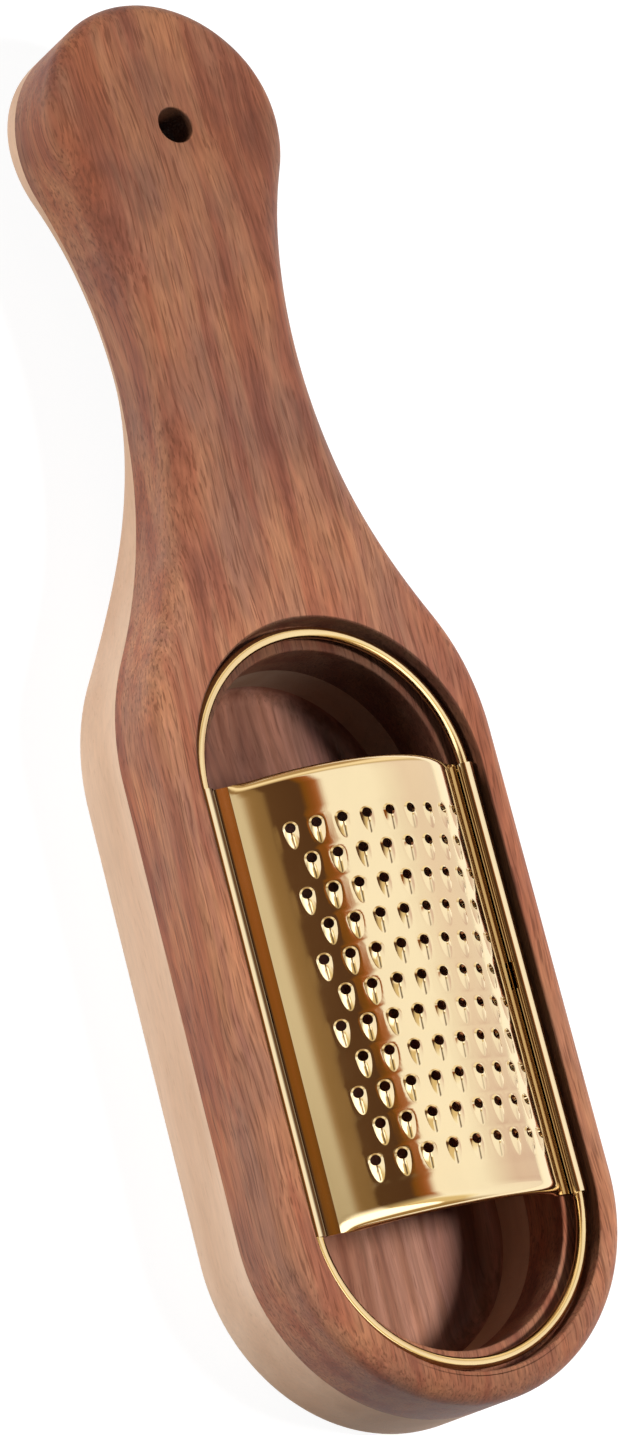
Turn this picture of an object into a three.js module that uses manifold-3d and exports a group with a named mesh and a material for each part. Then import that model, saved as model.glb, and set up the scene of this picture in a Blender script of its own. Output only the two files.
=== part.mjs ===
// Hand-held grater with a catch box: a bottle-shaped board glued up from two woods, a deep
// pocket under a rebate, and a lift-off grating plate whose edges are hemmed round a wire loop.
// Millimetres, +Z up. X runs across the board and +Y toward the handle. The origin is under
// the middle of the board, on the surface that it rests on.
import * as THREE from "three";
import { mergeVertices } from "three/addons/utils/BufferGeometryUtils.js";
import Module from "manifold-3d";

// Board outline, places along it measured from its catch end
const boardLength = 289.5;
const headWidth = 78;
const straightSideLength = 91.2;
const neckWidth = 36;
const neckFromHandleEnd = 78;
const bulbWidth = 54.4;
const shoulderShare = 0.31;

// Board height, its two layers and the hollow under the grip
const boardHeight = 34;
const lowerBoardHeight = 17;
const hollowStart = 153.7;
const hollowLength = 61.5;
const hollowRise = 11.8;
const bulbDropStart = 223.3;
const bulbDrop = 3.9;

// Rounded edges of the board
const headTopRound = 4.4;
const headBottomRound = 3.5;
const gripRound = 7;
const bulbTopRound = 4.3;
const bulbBottomRound = 4.7;
const gripRoundStart = 144;
const gripRoundEnd = 189;
const bulbRoundStart = 239;
const bulbRoundEnd = 279;

// Hanging hole
const hangingHoleDiameter = 7.6;
const hangingHoleFromEnd = 28.2;

// Rebate, pocket and floor panel
const sideRim = 6.3;
const catchEndRim = 5.7;
const rebateLength = 150;
const rebateDepth = 5.3;
const ledgeWidth = 5;
const floorPanelThickness = 7.5;
const floorDishDepth = 3.5;
const floorSeatWidth = 4;
const floorPanelClearance = 0.3;

// Wire loop and the sheet that is rolled round it
const wireDiameter = 2.3;
const sheetThickness = 0.5;
const hemClearance = 0.2;
const seatClearance = 0.25;
const lipAngle = THREE.MathUtils.degToRad(135);
const lipNotchLength = 5.5;

// Grating plate
const plateReachPastStraight = 1.7;
const plateSetToCatchEnd = 0.8;
const archRise = 12.8;
const creaseFromWire = 4.7;
const creaseAboveWire = 1;
const bendFromWire = 2.5;
const bendAboveWire = 0.2;
const endTurnRadius = 2;

// Teeth
const toothPitch = 5.05;
const toothRowPitch = 6.5;
const toothEndMargin = 11.5;
const toothSideMargin = 9.7;
const toothHoleDiameter = 2.2;
const toothRimWall = 0.2;
const toothHeight = 0.9;
const toothWidth = 3.2;
const toothTail = 4.3;
const toothTailWaistShare = 0.48;
const toothTailWidthShare = 0.7;

// Overrun of every cut, and the number of steps in the round stretches
const overrun = 1;
const headArcSteps = 14;
const shoulderSteps = 5;
const neckSteps = 8;
const bulbArcSteps = 12;
const roundSteps = 4;
const pocketArcSteps = 20;
const archSteps = 24;
const hemSteps = 9;
const endTurnSteps = 4;
const wireArcSteps = 18;
const wireSides = 12;
const holeSides = 16;
const toothSides = 8;

// Places and sizes that follow from the ones above
const catchEnd = -boardLength / 2;
const handleEnd = boardLength / 2;
const neckY = handleEnd - neckFromHandleEnd;
const hangingHoleY = handleEnd - hangingHoleFromEnd;
const rebateHalfWidth = headWidth / 2 - sideRim;
const rebateHalfStraight = rebateLength / 2 - rebateHalfWidth;
const rebateY = catchEnd + catchEndRim + rebateLength / 2;
const ledgeHeight = boardHeight - rebateDepth;
const pocketHalfWidth = rebateHalfWidth - ledgeWidth;
const floorSeatHalfWidth = pocketHalfWidth + floorSeatWidth;
const wireRadius = wireDiameter / 2;
const hemRadius = wireRadius + hemClearance + sheetThickness / 2;
const hemOuterRadius = hemRadius + sheetThickness / 2;
const wireHalfWidth = rebateHalfWidth - seatClearance - hemOuterRadius;
const wireHeight = ledgeHeight + seatClearance + hemOuterRadius;
const plateLength = 2 * (rebateHalfStraight + plateReachPastStraight);
const creaseX = wireHalfWidth - creaseFromWire;
const archRadius = (creaseX ** 2 + archRise ** 2) / (2 * archRise);
const archCentreZ = creaseAboveWire + archRise - archRadius;
const archHalfAngle = Math.atan2(creaseX, creaseAboveWire - archCentreZ);
const archWidth = 2 * archHalfAngle * archRadius;
const toothRows = 1 + Math.round((plateLength - 2 * toothEndMargin) / toothRowPitch);
const teethInLongRow = 1 + Math.round((archWidth - 2 * toothSideMargin) / toothPitch);

const wasm = await Module();
wasm.setup();

// A closed geometry as a solid that can be joined and cut
function solid(geometry) {
  geometry.deleteAttribute("normal");
  geometry.deleteAttribute("uv");
  const merged = mergeVertices(geometry);
  const triangles = [];
  for (let k = 0; k < merged.index.count; k += 3) {
    const [a, b, c] = [0, 1, 2].map((corner) => merged.index.getX(k + corner));
    if (a !== b && b !== c && c !== a) triangles.push(a, b, c);
  }
  return new wasm.Manifold(new wasm.Mesh({
    numProp: 3,
    vertProperties: new Float32Array(merged.attributes.position.array),
    triVerts: new Uint32Array(triangles),
  }));
}

// A finished solid as a named mesh
function mesh(name, shape, color, roughness, metalness) {
  const { vertProperties, triVerts } = shape.getMesh();
  const geometry = new THREE.BufferGeometry();
  geometry.setAttribute("position", new THREE.BufferAttribute(new Float32Array(vertProperties), 3));
  geometry.setIndex(new THREE.BufferAttribute(new Uint32Array(triVerts), 1));
  geometry.computeVertexNormals();
  const material = new THREE.MeshStandardMaterial({ color, roughness, metalness });
  const result = new THREE.Mesh(geometry, material);
  result.name = name;
  return result;
}

// Skin through rings of equally many points. Each end is closed by strips between the points
// that face one another across the ring, unless the last ring joins the first.
function loft(rings, joinsItself = false) {
  const count = rings[0].length;
  const index = [];
  const quad = (a, b, c, d) => index.push(a, b, c, a, c, d);
  const at = (ring, k) => (ring % rings.length) * count + (k % count);
  const lastRing = rings.length - 1;
  for (let ring = 0; ring < (joinsItself ? rings.length : lastRing); ring++) {
    for (let k = 0; k < count; k++) {
      quad(at(ring, k), at(ring, k + 1), at(ring + 1, k + 1), at(ring + 1, k));
    }
  }
  for (let k = 0; !joinsItself && k + 1 < count / 2; k++) {
    const mate = count - 1 - k;
    quad(at(0, k), at(0, mate), at(0, mate - 1), at(0, k + 1));
    quad(at(lastRing, k), at(lastRing, k + 1), at(lastRing, mate - 1), at(lastRing, mate));
  }
  const geometry = new THREE.BufferGeometry();
  const position = new Float32Array(rings.flat().flatMap((point) => point.toArray()));
  geometry.setAttribute("position", new THREE.BufferAttribute(position, 3));
  geometry.setIndex(index);
  return solid(geometry);
}

function box(x0, x1, y0, y1, z0, z1) {
  const geometry = new THREE.BoxGeometry(x1 - x0, y1 - y0, z1 - z0);
  geometry.translate((x0 + x1) / 2, (y0 + y1) / 2, (z0 + z1) / 2);
  return solid(geometry);
}

// Upright prism with straight sides and round ends, centred on the rebate. Its lower and upper
// edges can be rounded.
function stadium(halfWidth, z0, z1, round = 0) {
  const outline = new THREE.Shape();
  outline.absarc(0, -rebateHalfStraight, halfWidth, Math.PI, 2 * Math.PI);
  outline.absarc(0, rebateHalfStraight, halfWidth, 0, Math.PI);
  const geometry = new THREE.ExtrudeGeometry(outline, {
    depth: z1 - z0 - 2 * round,
    bevelEnabled: round > 0,
    bevelThickness: round,
    bevelSize: round,
    bevelOffset: -round,
    bevelSegments: roundSteps,
    curveSegments: pocketArcSteps,
  });
  geometry.translate(0, rebateY, z0 + round);
  return solid(geometry);
}

// Value that eases from 0 to 1 while a place goes from start to end
function ease(place, start, end) {
  return THREE.MathUtils.smoothstep(place, start, end);
}

// Right half of the board's outline, from the catch end to the handle's end: each point with
// its outward normal. Arcs meet in one direction: head, shoulder, neck and bulb.
function boardHalfOutline() {
  const headRadius = headWidth / 2;
  const bulbRadius = bulbWidth / 2;
  const neckX = neckWidth / 2;
  const headY = catchEnd + headRadius;
  const shoulderY = headY + straightSideLength;
  const turn = 2 * Math.atan2(headRadius - neckX, neckY - shoulderY);
  const bothRadii = (neckY - shoulderY) / Math.sin(turn);
  const shoulderRadius = bothRadii * shoulderShare;
  const neckRadius = bothRadii - shoulderRadius;
  const bulbY = handleEnd - bulbRadius;
  const rise = bulbY - neckY;
  const gripRadius = (rise ** 2 + neckX ** 2 - bulbRadius ** 2) / (2 * (bulbRadius - neckX));
  const bulbTurn = Math.atan2(rise, neckX + gripRadius);
  const points = [];
  const arc = (x, y, radius, from, to, steps, side) => {
    for (let k = points.length ? 1 : 0; k <= steps; k++) {
      const angle = THREE.MathUtils.lerp(from, to, k / steps);
      const out = new THREE.Vector2(Math.cos(angle), Math.sin(angle));
      const place = out.clone().multiplyScalar(radius).add(new THREE.Vector2(x, y));
      points.push({ place, normal: out.multiplyScalar(side) });
    }
  };
  arc(0, headY, headRadius, -Math.PI / 2, 0, headArcSteps, 1);
  points.push({ place: new THREE.Vector2(headRadius, shoulderY), normal: new THREE.Vector2(1, 0) });
  arc(headRadius - shoulderRadius, shoulderY, shoulderRadius, 0, turn, shoulderSteps, 1);
  arc(neckX + neckRadius, neckY, neckRadius, Math.PI + turn, Math.PI, neckSteps, -1);
  arc(neckX + gripRadius, neckY, gripRadius, Math.PI, Math.PI - bulbTurn, shoulderSteps, -1);
  arc(0, bulbY, bulbRadius, -bulbTurn, Math.PI / 2, bulbArcSteps, 1);
  return points;
}

// Height of the underside: flat under the head, hollowed under the grip, lower again at the bulb
function undersideHeight(y) {
  const place = y - catchEnd;
  const hollow = hollowRise * ease(place, hollowStart, hollowStart + hollowLength);
  const dropLength = boardLength - bulbDropStart;
  return hollow - bulbDrop * (Math.max(place - bulbDropStart, 0) / dropLength) ** 2;
}

// Edge radius at a place along the board
function roundAt(y, head, bulb) {
  const toGrip = ease(y - catchEnd, gripRoundStart, gripRoundEnd);
  const toBulb = ease(y - catchEnd, bulbRoundStart, bulbRoundEnd);
  return head + (gripRound - head) * toGrip + (bulb - gripRound) * toBulb;
}

// The whole board before it is cut, as rings from the underside up over both rounded edges
function boardBlank() {
  const half = boardHalfOutline();
  const ring = (angle, isTop) => {
    const right = half.map(({ place, normal }) => {
      const radius = isTop ? roundAt(place.y, headTopRound, bulbTopRound)
        : roundAt(place.y, headBottomRound, bulbBottomRound);
      const { x, y } = place.clone().addScaledVector(normal, -radius * (1 - Math.cos(angle)));
      const lift = radius * (1 - Math.sin(angle));
      return new THREE.Vector3(x, y, isTop ? boardHeight - lift : undersideHeight(y) + lift);
    });
    const left = right.map(({ x, y, z }) => new THREE.Vector3(-x, y, z)).reverse();
    return [...right, ...left];
  };
  const angles = Array.from({ length: roundSteps + 1 }, (_, k) => (k / roundSteps) * Math.PI / 2);
  const bottom = angles.map((angle) => ring(angle, false)).reverse();
  const top = angles.map((angle) => ring(angle, true));
  return loft([...bottom, ...top]);
}

function hangingHole() {
  const radius = hangingHoleDiameter / 2;
  const geometry = new THREE.CylinderGeometry(radius, radius, boardHeight + 2 * overrun, holeSides);
  geometry.rotateX(Math.PI / 2);
  geometry.translate(0, hangingHoleY, boardHeight / 2);
  return solid(geometry);
}

// One layer of the board, between two heights
function boardLayer(blank, z0, z1) {
  return blank.intersect(box(-headWidth, headWidth, -boardLength, boardLength, z0, z1))
    .subtract(hangingHole());
}

// Dark upper layer, with the rebate that holds the insert and the mouth of the pocket
function upperBoard(blank) {
  return boardLayer(blank, lowerBoardHeight, boardHeight + overrun)
    .subtract(stadium(rebateHalfWidth, ledgeHeight, boardHeight + overrun))
    .subtract(stadium(pocketHalfWidth, lowerBoardHeight - overrun, boardHeight));
}

// Light lower layer, with the pocket's lower wall and the seat of the floor panel
function lowerBoard(blank) {
  return boardLayer(blank, -overrun, lowerBoardHeight)
    .subtract(stadium(pocketHalfWidth, -overrun, lowerBoardHeight + overrun))
    .subtract(stadium(floorSeatHalfWidth, -overrun, floorPanelThickness));
}

// Dark floor of the pocket, let in from below and flush with the underside. Its top is dished,
// with a cove that meets the pocket's wall.
function floorPanel() {
  const dishBottom = floorPanelThickness - floorDishDepth;
  const dishTop = floorPanelThickness + floorDishDepth + overrun;
  return stadium(floorSeatHalfWidth - floorPanelClearance, 0, floorPanelThickness)
    .subtract(stadium(pocketHalfWidth, dishBottom, dishTop, floorDishDepth));
}

// Middle line of the sheet across the plate, from the left lip end over the arch to the right
// one, about the wire's height. Each point says how far the plate's ends are turned down there.
function plateSection() {
  const arch = [];
  for (let k = 0; k <= archSteps; k++) {
    const share = (2 * k) / archSteps - 1;
    const out = new THREE.Vector2(Math.sin(share * archHalfAngle), Math.cos(share * archHalfAngle));
    const place = out.clone().multiplyScalar(archRadius).add(new THREE.Vector2(0, archCentreZ));
    arch.push({ place, turned: 1 - share ** archSteps });
  }
  const bend = new THREE.Vector2(-bendFromWire, bendAboveWire);
  const meet = bend.angle() + Math.acos(hemRadius / bend.length());
  const right = [{ place: bend.clone().add(new THREE.Vector2(wireHalfWidth, 0)), turned: 0 }];
  for (let k = 0; k <= hemSteps; k++) {
    const angle = THREE.MathUtils.lerp(meet, 2 * Math.PI + lipAngle, k / hemSteps);
    const place = new THREE.Vector2(Math.cos(angle), Math.sin(angle)).multiplyScalar(hemRadius);
    right.push({ place: place.add(new THREE.Vector2(wireHalfWidth, 0)), turned: 0 });
  }
  const left = right.map(({ place, turned }) => ({ place: new THREE.Vector2(-place.x, place.y), turned }));
  return [...left.reverse(), ...arch, ...right];
}

// Mitred normals of a line of points, each as long as keeps the offset line parallel
function mitres(points) {
  return points.map((point, k) => {
    const before = points[Math.max(k - 1, 0)];
    const after = points[Math.min(k + 1, points.length - 1)];
    const into = (k ? point.clone().sub(before) : after.clone().sub(point)).normalize();
    const outOf = (after === point ? into.clone() : after.clone().sub(point)).normalize();
    const along = into.clone().add(outOf).normalize();
    return new THREE.Vector2(-along.y, along.x).divideScalar(along.dot(into));
  });
}

// Arch, flanges and hems as one bent sheet, its ends turned down over the arch
function plateSheet() {
  const section = plateSection();
  const normals = mitres(section.map(({ place }) => place));
  const ring = (y, turn, end) => {
    const face = (side) => section.map(({ place, turned }, k) => {
      const angle = turn * turned;
      const drop = endTurnRadius * (1 - Math.cos(angle));
      const out = side * sheetThickness / 2;
      const { x, y: z } = place.clone().addScaledVector(normals[k], out * Math.cos(angle) - drop);
      return new THREE.Vector3(x, y + out * Math.sin(angle) * end, z);
    });
    return [...face(1), ...face(-1).reverse()];
  };
  const rings = [];
  const reach = plateLength / 2 - sheetThickness / 2;
  for (let k = -endTurnSteps; k <= endTurnSteps; k++) {
    const end = Math.sign(k);
    const ends = k ? [k] : [-1, 1];
    for (const step of ends) {
      const turn = k ? (Math.abs(k) / endTurnSteps) * Math.PI / 2 : 0;
      const side = k ? end : step;
      rings.push(ring(side * (reach - endTurnRadius * (1 - Math.sin(turn))), turn, side));
    }
  }
  return loft(rings);
}

// One raised tooth, standing on the sheet's middle at the origin, its tail toward the catch end
function toothBoss() {
  const base = [];
  const rim = [];
  const rimRadius = toothHoleDiameter / 2 + toothRimWall;
  const tail = [
    [toothTailWidthShare, toothTailWaistShare],
    [0, 1],
    [-toothTailWidthShare, toothTailWaistShare],
  ];
  for (let k = 0; k < toothSides; k++) {
    const angle = (-k / toothSides) * 2 * Math.PI + Math.PI;
    const [sine, cosine] = [Math.sin(angle), Math.cos(angle)];
    const [across, back] = tail[k - toothSides / 2 - 1] ?? [];
    const [x, y] = across === undefined ? [cosine, sine].map((share) => share * toothWidth / 2)
      : [across * toothWidth / 2, -back * toothTail];
    base.push(new THREE.Vector3(x, y, 0));
    rim.push(new THREE.Vector3(cosine * rimRadius, sine * rimRadius, sheetThickness / 2 + toothHeight));
  }
  return loft([base.reverse(), rim.reverse()]);
}

function toothHole() {
  const radius = toothHoleDiameter / 2;
  const geometry = new THREE.CylinderGeometry(radius, radius, 2 * (toothHeight + overrun), toothSides);
  geometry.rotateX(Math.PI / 2);
  geometry.rotateZ(Math.PI / 2);
  return solid(geometry);
}

// Places of the teeth on the arch: staggered rows, every second one a tooth shorter
function toothPlaces() {
  const places = [];
  for (let row = 0; row < toothRows; row++) {
    const teeth = teethInLongRow - (row % 2);
    const y = ((toothRows - 1) / 2 - row) * toothRowPitch;
    for (let k = 0; k < teeth; k++) {
      const angle = (k - (teeth - 1) / 2) * toothPitch / archRadius;
      const place = new THREE.Matrix4().makeRotationY(angle);
      place.setPosition(archRadius * Math.sin(angle), y, archCentreZ + archRadius * Math.cos(angle));
      places.push(place.elements);
    }
  }
  return places;
}

// Notch at mid-length in each lip, back to the line along the wire's top
function lipNotch(side) {
  const x = [0, -hemOuterRadius].map((inward) => side * (wireHalfWidth + inward));
  const half = lipNotchLength / 2;
  return box(Math.min(...x), Math.max(...x), -half, half, 0, hemOuterRadius + overrun);
}

function gratingPlate() {
  const boss = toothBoss();
  const hole = toothHole();
  let plate = plateSheet();
  const places = toothPlaces();
  plate = wasm.Manifold.union([plate, ...places.map((place) => boss.transform(place))]);
  plate = wasm.Manifold.difference([plate, ...places.map((place) => hole.transform(place))]);
  return plate.subtract(lipNotch(1)).subtract(lipNotch(-1)).translate([0, -plateSetToCatchEnd, 0]);
}

// Wire bent into one loop with straight sides, lying in its own plane
function wireLoop() {
  const rings = [];
  for (const end of [1, -1]) {
    for (let k = 0; k <= wireArcSteps; k++) {
      const angle = (k / wireArcSteps) * Math.PI;
      const out = new THREE.Vector3(end * Math.cos(angle), end * Math.sin(angle), 0);
      const ring = [];
      for (let side = 0; side < wireSides; side++) {
        const around = ((side + 1 / 2) / wireSides) * 2 * Math.PI;
        const point = out.clone().multiplyScalar(wireHalfWidth + wireRadius * Math.cos(around));
        point.y += end * rebateHalfStraight;
        point.z = -wireRadius * Math.sin(around);
        ring.push(point);
      }
      rings.push(ring);
    }
  }
  return loft(rings, true);
}

const blank = boardBlank();

const board = new THREE.Group();
board.add(mesh("upper_board", upperBoard(blank), "#a2735c", 0.55, 0));
board.add(mesh("lower_board", lowerBoard(blank), "#d3ad8f", 0.6, 0));
board.add(mesh("floor_panel", floorPanel(), "#764c38", 0.6, 0));

const insert = new THREE.Group();
insert.position.set(0, rebateY, wireHeight);
insert.add(mesh("grater_plate", gratingPlate(), "#dcb878", 0.2, 1));
insert.add(mesh("wire_frame", wireLoop(), "#dcb878", 0.2, 1));

const grater = new THREE.Group();
grater.add(board, insert);

export default grater;
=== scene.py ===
import math

import bmesh
import bpy
from mathutils import Euler, Matrix, Vector


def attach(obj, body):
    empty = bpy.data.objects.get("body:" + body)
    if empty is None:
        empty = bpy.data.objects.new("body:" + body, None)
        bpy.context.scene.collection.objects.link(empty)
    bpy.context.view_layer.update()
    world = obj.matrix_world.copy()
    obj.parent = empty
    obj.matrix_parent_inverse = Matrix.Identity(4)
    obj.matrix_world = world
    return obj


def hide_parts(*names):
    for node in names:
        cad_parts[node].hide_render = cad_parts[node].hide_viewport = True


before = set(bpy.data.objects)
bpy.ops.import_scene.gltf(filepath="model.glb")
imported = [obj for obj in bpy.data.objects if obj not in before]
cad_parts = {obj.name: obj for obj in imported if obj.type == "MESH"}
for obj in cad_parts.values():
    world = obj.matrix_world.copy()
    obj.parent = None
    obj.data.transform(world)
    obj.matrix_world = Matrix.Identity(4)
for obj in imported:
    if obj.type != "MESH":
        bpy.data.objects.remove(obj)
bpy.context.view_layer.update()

# Board blank: a dark board and a light one glued face to face, sawn to the outline of a short
# bottle, hollowed under the grip and rounded over along both edges. Y runs along it from the
# catch end to the handle, and its underside rests on the table.
mm = 0.001
board_length = 289.5 * mm
board_height = 34 * mm
glue_height = 17 * mm
head_half_width = 39 * mm
neck_half_width = 18 * mm
bulb_radius = 27.2 * mm
straight_side = 91.2 * mm
neck_from_handle_end = 78 * mm
shoulder_share = 0.31
hollow_start, hollow_length, hollow_rise = 153.7 * mm, 61.5 * mm, 11.8 * mm
bulb_drop_start, bulb_drop = 223.3 * mm, 3.9 * mm
head_rounds, grip_round, bulb_rounds = (3.5 * mm, 4.4 * mm), 7 * mm, (4.7 * mm, 4.3 * mm)
grip_blend, bulb_blend = (144 * mm, 189 * mm), (239 * mm, 279 * mm)
head_steps, shoulder_steps, neck_steps, grip_steps, bulb_steps = 36, 16, 30, 16, 40
round_steps = 9
support = 0.5 * mm
merge = 0.002 * mm

catch_end, handle_end = -board_length / 2, board_length / 2
head_y = catch_end + head_half_width
shoulder_y = head_y + straight_side
neck_y = handle_end - neck_from_handle_end
bulb_y = handle_end - bulb_radius
turn = 2 * math.atan2(head_half_width - neck_half_width, neck_y - shoulder_y)
both_radii = (neck_y - shoulder_y) / math.sin(turn)
shoulder_radius = both_radii * shoulder_share
neck_radius = both_radii - shoulder_radius
bulb_rise = bulb_y - neck_y
grip_radius = ((bulb_rise ** 2 + neck_half_width ** 2 - bulb_radius ** 2)
               / (2 * (bulb_radius - neck_half_width)))
bulb_turn = math.atan2(bulb_rise, neck_half_width + grip_radius)


def ease(place, start, end):
    share = min(max((place - start) / (end - start), 0), 1)
    return share * share * (3 - 2 * share)


def underside(y):
    """Height of the board's underside: flat, then hollowed under the grip, lower at the bulb."""
    place = y - catch_end
    hollow = hollow_rise * ease(place, hollow_start, hollow_start + hollow_length)
    past = max(place - bulb_drop_start, 0) / (board_length - bulb_drop_start)
    return hollow - bulb_drop * past ** 2


def edge_round(y, is_top):
    """Radius of the board's rounded edge, which is largest along the grip."""
    head, bulb = head_rounds[is_top], bulb_rounds[is_top]
    place = y - catch_end
    return (head + (grip_round - head) * ease(place, *grip_blend)
            + (bulb - grip_round) * ease(place, *bulb_blend))


def new_outline():
    """An empty mesh whose points can remember their place on an outline and the way out of it."""
    bm = bmesh.new()
    return bm, bm.verts.layers.float_vector.new("home"), bm.verts.layers.float_vector.new("out")


def arc(bm, point, centre, angle, steps):
    """Turns a point about an upright axis; the line of points behind it is the arc."""
    turned = bmesh.ops.spin(bm, geom=[point], cent=(*centre, point.co.z), axis=(0, 0, 1),
                            angle=angle, steps=steps, use_duplicate=False)
    return next(part for part in turned["geom_last"] if isinstance(part, bmesh.types.BMVert))


def line(bm, point, x, y):
    end = bmesh.ops.extrude_vert_indiv(bm, verts=[point])["verts"][0]
    end.co = x, y, point.co.z
    return end


def note_outline(edges, home, out):
    """Each point of a closed ring notes where it is and which way is out of the outline."""
    for point in {end for edge in edges for end in edge.verts}:
        point[home] = point.co
        total = Vector()
        for edge in point.link_edges:
            if edge in edges:
                along = edge.verts[1].co - edge.verts[0].co
                side = Vector((along.y, -along.x, 0)).normalized()
                total += side * math.copysign(1, side.x * (edge.verts[0].co.x + edge.verts[1].co.x))
        point[out] = total.normalized()


def next_ring(bm, ring, place):
    """Extrudes a closed ring of edges and puts each new point where place says."""
    made = bmesh.ops.extrude_edge_only(bm, edges=ring)["geom"]
    points = {part for part in made if isinstance(part, bmesh.types.BMVert)}
    for point in points:
        point.co = place(point)
    return [part for part in made
            if isinstance(part, bmesh.types.BMEdge) and points.issuperset(part.verts)]


def blank_place(home, out, angle, is_top, inward=0):
    """Where a point of the blank goes: angle runs up its rounded edge from 0 at the side."""
    def place(point):
        radius = edge_round(point[home].y, is_top)
        at = point[home] - point[out] * (radius * (1 - math.cos(angle)) + inward)
        lift = radius * (1 - math.sin(angle))
        at.z = board_height - lift if is_top else underside(at.y) + lift
        return at
    return place


blank, home, out = new_outline()
point = blank.verts.new((0, catch_end, 0))
point = arc(blank, point, (0, head_y), math.pi / 2, head_steps)
point = line(blank, point, head_half_width, (head_y + shoulder_y) / 2)
point = line(blank, point, head_half_width, shoulder_y)
point = arc(blank, point, (head_half_width - shoulder_radius, shoulder_y), turn, shoulder_steps)
point = arc(blank, point, (neck_half_width + neck_radius, neck_y), -turn, neck_steps)
point = arc(blank, point, (neck_half_width + grip_radius, neck_y), -bulb_turn, grip_steps)
arc(blank, point, (0, bulb_y), math.pi / 2 + bulb_turn, bulb_steps)
bmesh.ops.mirror(blank, geom=blank.verts[:] + blank.edges[:], matrix=Matrix.Identity(4),
                 merge_dist=merge, axis="X")
bmesh.ops.remove_doubles(blank, verts=blank.verts, dist=merge)
ring = blank.edges[:]
note_outline(ring, home, out)
quarter = [math.pi / 2 * step / round_steps for step in range(round_steps + 1)]
lowest_place = blank_place(home, out, math.pi / 2, False, support)
for point in blank.verts:
    point.co = lowest_place(point)
for is_top, angles in ((False, reversed(quarter)), (True, quarter)):
    for angle in angles:
        ring = next_ring(blank, ring, blank_place(home, out, angle, is_top))
next_ring(blank, ring, blank_place(home, out, math.pi / 2, True, support))


# Dark upper layer: straight-grained brown hardwood, oiled. A rebate for the wire loop is routed
# into it, the pocket runs on down through it, and a hanging hole is bored through the handle.
rebate_half_width = 32.7 * mm
rebate_half_straight = 42.3 * mm
rebate_y = -64.05 * mm
ledge_height = 28.7 * mm
pocket_half_width = 27.7 * mm
hole_radius, hole_y = 3.8 * mm, 116.55 * mm
arris = 0.45 * mm
arris_steps = 3
corner, corner_bow = 0.3 * mm, 0.09 * mm
stadium_steps = 40
hole_steps = 32
sharp_angle = math.radians(38)


def half_board(is_upper):
    """The blank's part above or below the glue line, open where it was cut and where it is flat."""
    part = blank.copy()
    layers = part.verts.layers.float_vector
    bmesh.ops.bisect_plane(part, geom=part.verts[:] + part.edges[:] + part.faces[:],
                           plane_co=(0, 0, glue_height), plane_no=(0, 0, 1),
                           clear_inner=is_upper, clear_outer=not is_upper)
    rims = [edge for edge in part.edges if edge.is_boundary]
    at_cut = [edge for edge in rims
              if all(abs(end.co.z - glue_height) < merge for end in edge.verts)]
    return part, layers["home"], layers["out"], at_cut, [e for e in rims if e not in at_cut]


def stadium(bm, home, out, half_width, z):
    """Closed outline of the rebate's shape: straight sides and round ends."""
    low, high = rebate_y - rebate_half_straight, rebate_y + rebate_half_straight
    first = bm.verts.new((half_width, low, z))
    known = set(bm.edges)
    point = line(bm, first, half_width, high)
    point = arc(bm, point, (0, high), math.pi, stadium_steps)
    point = line(bm, point, -half_width, low)
    point = arc(bm, point, (0, low), math.pi, stadium_steps)
    bmesh.ops.pointmerge(bm, verts=[first, point], merge_co=first.co)
    ring = [edge for edge in bm.edges if edge not in known]
    note_outline(ring, home, out)
    return ring


def circle(bm, home, out, z):
    """Closed outline of the hanging hole."""
    known = set(bm.edges)
    bmesh.ops.create_circle(bm, segments=hole_steps, radius=hole_radius,
                            matrix=Matrix.Translation((0, hole_y, z)))
    ring = [edge for edge in bm.edges if edge not in known]
    note_outline(ring, home, out)
    return ring


def cut(bm, ring, home, out, steps):
    """Follows a cut's wall from ring to ring: each step gives how far out of the outline, and how
    high. The first one places the ring itself."""
    def at_step(across, height):
        def place(point):
            at = point[home] + point[out] * across
            at.z = height(at.y) if callable(height) else height
            return at
        return place

    first, first_place = ring, at_step(*steps[0])
    for point in {end for edge in first for end in edge.verts}:
        point.co = first_place(point)
    for step in steps[1:]:
        ring = next_ring(bm, ring, at_step(*step))
    return first, ring


def broken_edge(across, top):
    """Steps over a sanded edge, from the flat face down to the wall of a cut."""
    angles = [math.pi / 2 * step / arris_steps for step in range(arris_steps + 1)]
    return [(across + arris + support, top)] + [
        (across + arris * (1 - math.sin(angle)), top - arris * (1 - math.cos(angle)))
        for angle in angles]


def fill(bm, *rings):
    """Flat face between the rings, which are all at about one height."""
    made = bmesh.ops.triangle_fill(bm, use_beauty=True, use_dissolve=False,
                                   edges=[edge for ring in rings for edge in ring],
                                   normal=(0, 0, 1))["geom"]
    return [part for part in made if isinstance(part, bmesh.types.BMFace)]


def finished(bm, name, material, sharp=sharp_angle):
    """The mesh as a named piece with its material."""
    bmesh.ops.recalc_face_normals(bm, faces=bm.faces)
    for layer in bm.verts.layers.float_vector.values():
        bm.verts.layers.float_vector.remove(layer)
    mesh = bpy.data.meshes.new(name)
    bm.to_mesh(mesh)
    bm.free()
    mesh.shade_smooth()
    mesh.set_sharp_from_angle(angle=sharp)
    mesh.materials.append(material)
    piece = bpy.data.objects.new(name, mesh)
    bpy.context.scene.collection.objects.link(piece)
    return piece


def paint(hex_value):
    """A colour written in sRGB hex as the linear one that a shader needs."""
    parts = [int(hex_value[k:k + 2], 16) / 255 for k in (0, 2, 4)]
    return (*[p / 12.92 if p <= 0.04045 else ((p + 0.055) / 1.055) ** 2.4 for p in parts], 1)


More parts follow.
